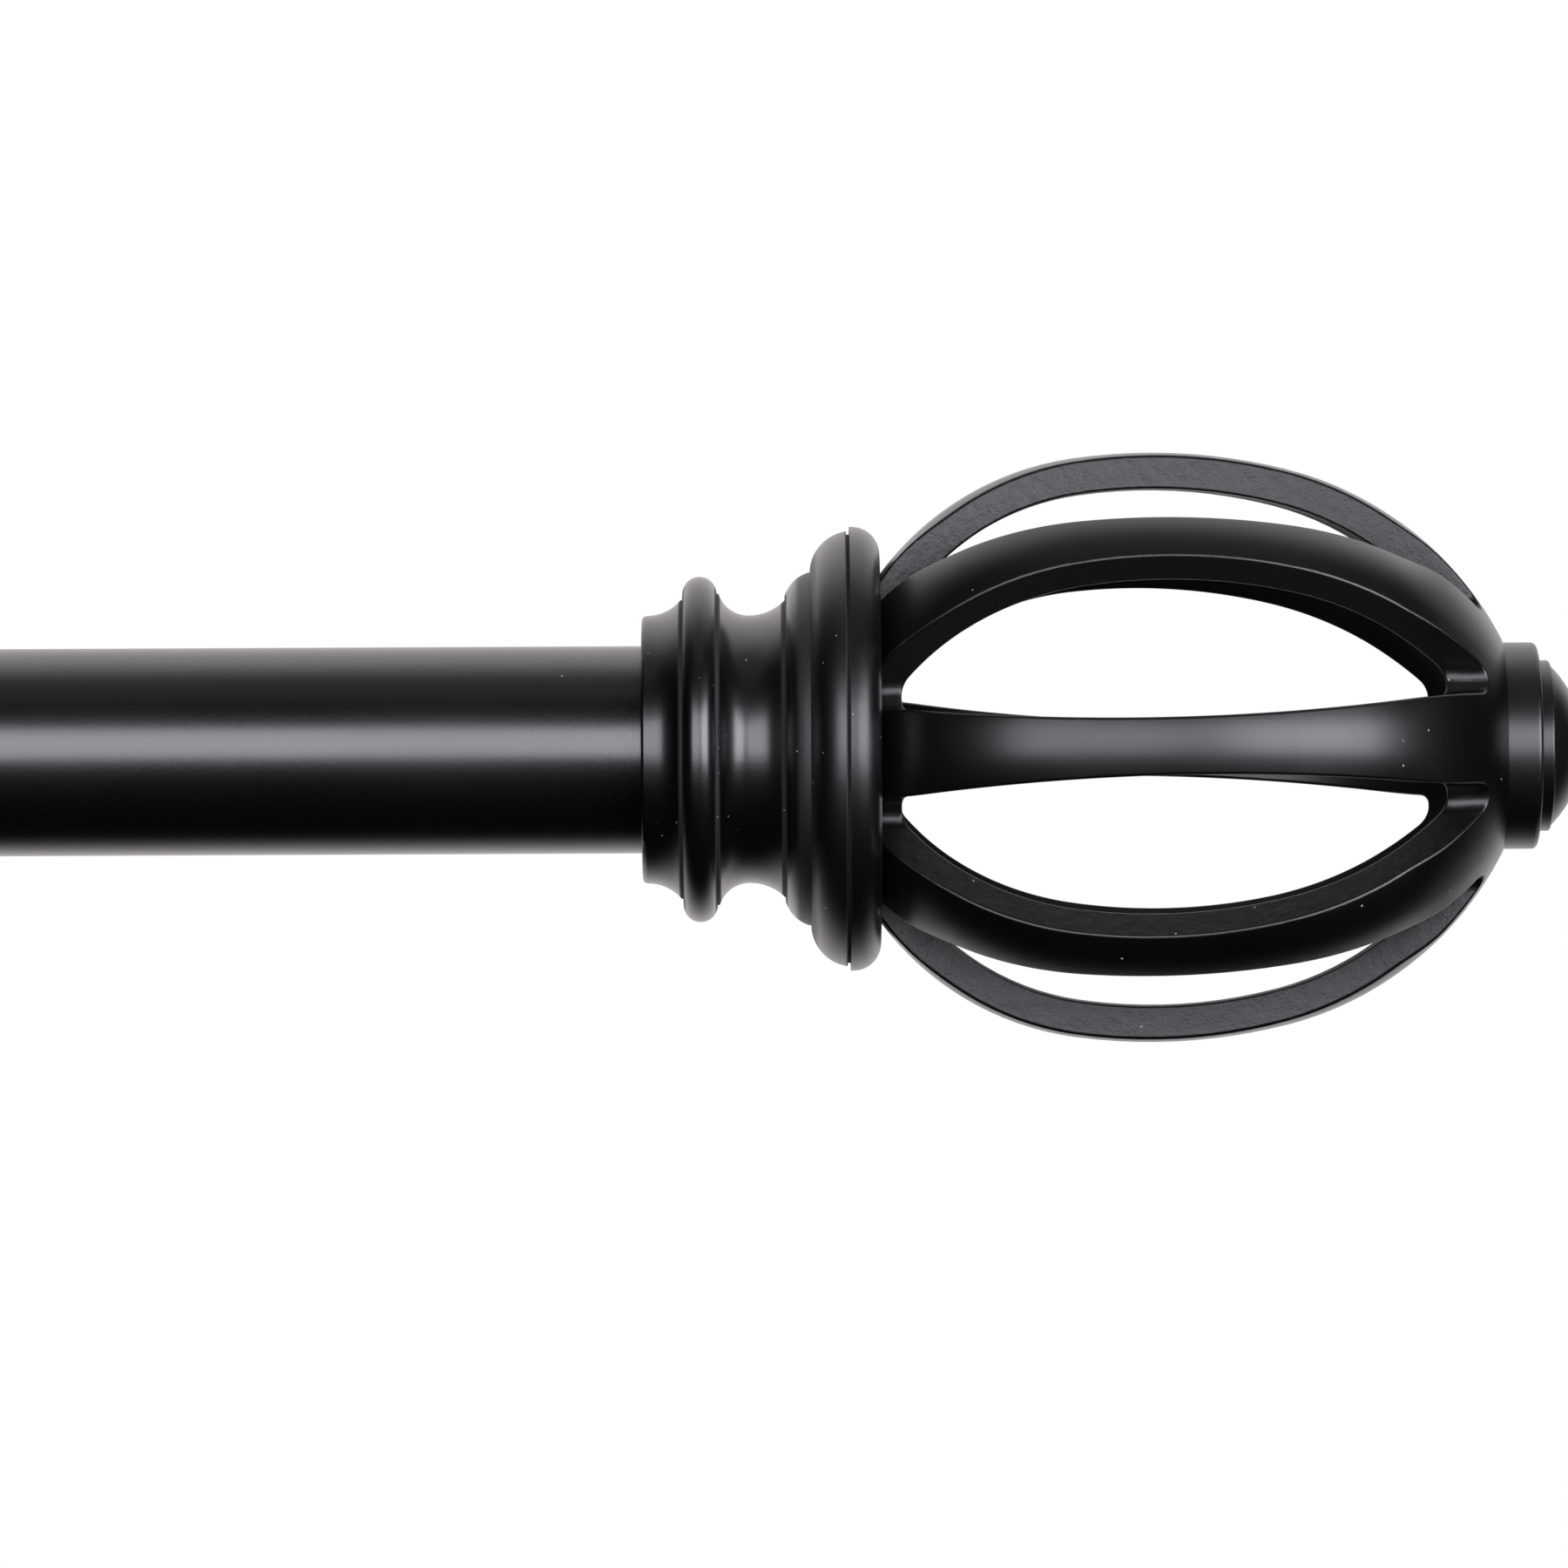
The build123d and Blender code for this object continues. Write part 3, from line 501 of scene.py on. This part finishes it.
def black_oxide(name):
    """Blackened steel: dark grey metal with worn, brighter patches."""
    dark = (0.03, 0.03, 0.033)
    bright = (0.10, 0.10, 0.105)
    finish, place = bare_finish(name)
    worn = noise(place, 1500.0, 5.0)
    bump = relief(3e-6, worn)
    end_finish(
        place,
        {
            "Base Color": blend_colours(worn, dark, bright),
            "Metallic": 0.9,
            "Roughness": 0.35 + 0.2 * worn,
            "Normal": bump,
        },
    )
    return finish


dress(plated_steel, "finial_tie_screw_right", "finial_tie_screw_left")
dress(black_oxide("black_oxide_steel"), "finial_grub_screw_right", "finial_grub_screw_left")


# Floor: a round sheet of pale card well below the rod.
# It takes the rod's shadow, and runs out into white towards its edge.

FLOOR_DROP = 0.45
FLOOR_REACH = 4.0
FLOOR_MIDDLE = -0.26
FLOOR_SIDES = 96
FADE_START, FADE_END = 0.8, 2.6
floor_rim = []
for side in range(FLOOR_SIDES):
    turn = 2 * math.pi * side / FLOOR_SIDES
    rim_x = FLOOR_REACH * math.cos(turn) + FLOOR_MIDDLE
    floor_rim.append((rim_x, FLOOR_REACH * math.sin(turn), -FLOOR_DROP))
floor_mesh = bpy.data.meshes.new("floor")
floor_mesh.from_pydata(floor_rim, [], [range(FLOOR_SIDES)])
floor = bpy.data.objects.new("floor", floor_mesh)
scene.collection.objects.link(floor)
pale, place = bare_finish("pale_floor")
from_rod = place.node("ShaderNodeVectorMath", {"operation": "LENGTH"}, {0: place}, "Value")
run_out = ease(from_rod, FADE_START, FADE_END, 0.55, 1.0)
seen = place.node("ShaderNodeLightPath", {}, {}, "Is Camera Ray")
card = place.node("ShaderNodeBsdfDiffuse", {}, {"Color": (0.82, 0.82, 0.82, 1.0)})
white = place.node("ShaderNodeEmission", {}, {"Color": (1.0, 1.0, 1.0, 1.0), "Strength": 1.0})
paper = place.node("ShaderNodeMixShader", {}, {0: seen * run_out, 1: card, 2: white})
place.node("ShaderNodeOutputMaterial", {}, {"Surface": paper})
floor_mesh.materials.append(pale)
floor.visible_glossy = False


# Studio: a white sweep stands behind the rod and leans over it, and the room is dark in front and below.
# The camera, and what is seen through a clear piece, meets plain white.

SWEEP_TOWARDS = (0.0, 0.970, 0.243)
SWEEP_STRENGTH = 1.2
CEILING_STRENGTH = 0.16
SWEEP_TINT = (1.0, 0.95, 0.98, 1.0)
studio = bpy.data.worlds.new("studio")
scene.world = studio
studio.use_nodes = True
studio.node_tree.nodes.clear()
way = Wire(studio.node_tree).node("ShaderNodeTexCoord", {}, {}, "Generated")
facing = way.node("ShaderNodeVectorMath", {"operation": "DOT_PRODUCT"}, {0: way, 1: SWEEP_TOWARDS}, "Value")
across = way.math("ABSOLUTE", way.node("ShaderNodeSeparateXYZ", {}, {0: way}, "X"))
up = way.node("ShaderNodeSeparateXYZ", {}, {0: way}, "Z")
backdrop = ease(facing, 0.10, 0.84, 0.0, SWEEP_STRENGTH) * ease(across, 0.45, 0.85, 1.0, 0.0)
ceiling = ease(up, 0.76, 0.93, 0.0, CEILING_STRENGTH)
seen = way.node("ShaderNodeLightPath", {}, {}, "Is Camera Ray")
seen = seen.math("MAXIMUM", seen, way.node("ShaderNodeLightPath", {}, {}, "Is Transmission Ray"))
sky = way.node("ShaderNodeBackground", {}, {"Color": SWEEP_TINT, "Strength": backdrop + ceiling})
paper_white = way.node("ShaderNodeBackground", {}, {"Color": (1.0, 1.0, 1.0, 1.0), "Strength": 1.0})
surroundings = way.node("ShaderNodeMixShader", {}, {0: seen, 1: sky, 2: paper_white})
way.node("ShaderNodeOutputWorld", {}, {"Surface": surroundings})


# Softboxes: two wide boxes in front, one to each side of the camera, a little above its height.
# Both face the right finial. The right one is brighter.

FINIAL_MIDDLE = (0.12, -0.075, 0.0)
SOFTBOX_DISTANCE = 1.2
SOFTBOX_ELEVATION = 8.7
SOFTBOX_HEIGHT = 0.70
SOFTBOX_TINT = (0.985, 0.96, 1.05)
SOFTBOXES = (
    ("left_softbox", -17.5, 1.20, 3.3),
    ("right_softbox", 39.5, 1.04, 5.3),
)
for name, turn, width, radiance in SOFTBOXES:
    lamp = bpy.data.lights.new(name, "AREA")
    lamp.shape = "RECTANGLE"
    lamp.size = width
    lamp.size_y = SOFTBOX_HEIGHT
    lamp.energy = radiance * math.pi * width * SOFTBOX_HEIGHT
    lamp.color = SOFTBOX_TINT
    box = bpy.data.objects.new(name, lamp)
    scene.collection.objects.link(box)
    across, rise = math.radians(turn), math.radians(SOFTBOX_ELEVATION)
    box.location = (
        FINIAL_MIDDLE[0] + SOFTBOX_DISTANCE * math.sin(across) * math.cos(rise),
        FINIAL_MIDDLE[1] - SOFTBOX_DISTANCE * math.cos(across) * math.cos(rise),
        FINIAL_MIDDLE[2] + SOFTBOX_DISTANCE * math.sin(rise),
    )
    box.rotation_euler = (math.pi / 2 - rise, 0.0, across)
    box.visible_camera = False


# Camera: a long lens square to the rod, level with it and close to the right finial.
# It is turned a quarter of a degree about its own line of sight.

CAMERA_ROLL = 0.27
lens = bpy.data.cameras.new("camera")
lens.sensor_width = 36.0
lens.lens = 208.6
lens.clip_start = 0.05
camera = bpy.data.objects.new("camera", lens)
scene.collection.objects.link(camera)
camera.location = (0.1108, -0.77, -0.00267)
camera.rotation_euler = (math.pi / 2, math.radians(CAMERA_ROLL), 0.0)
scene.camera = camera
scene.view_settings.view_transform = "Standard"
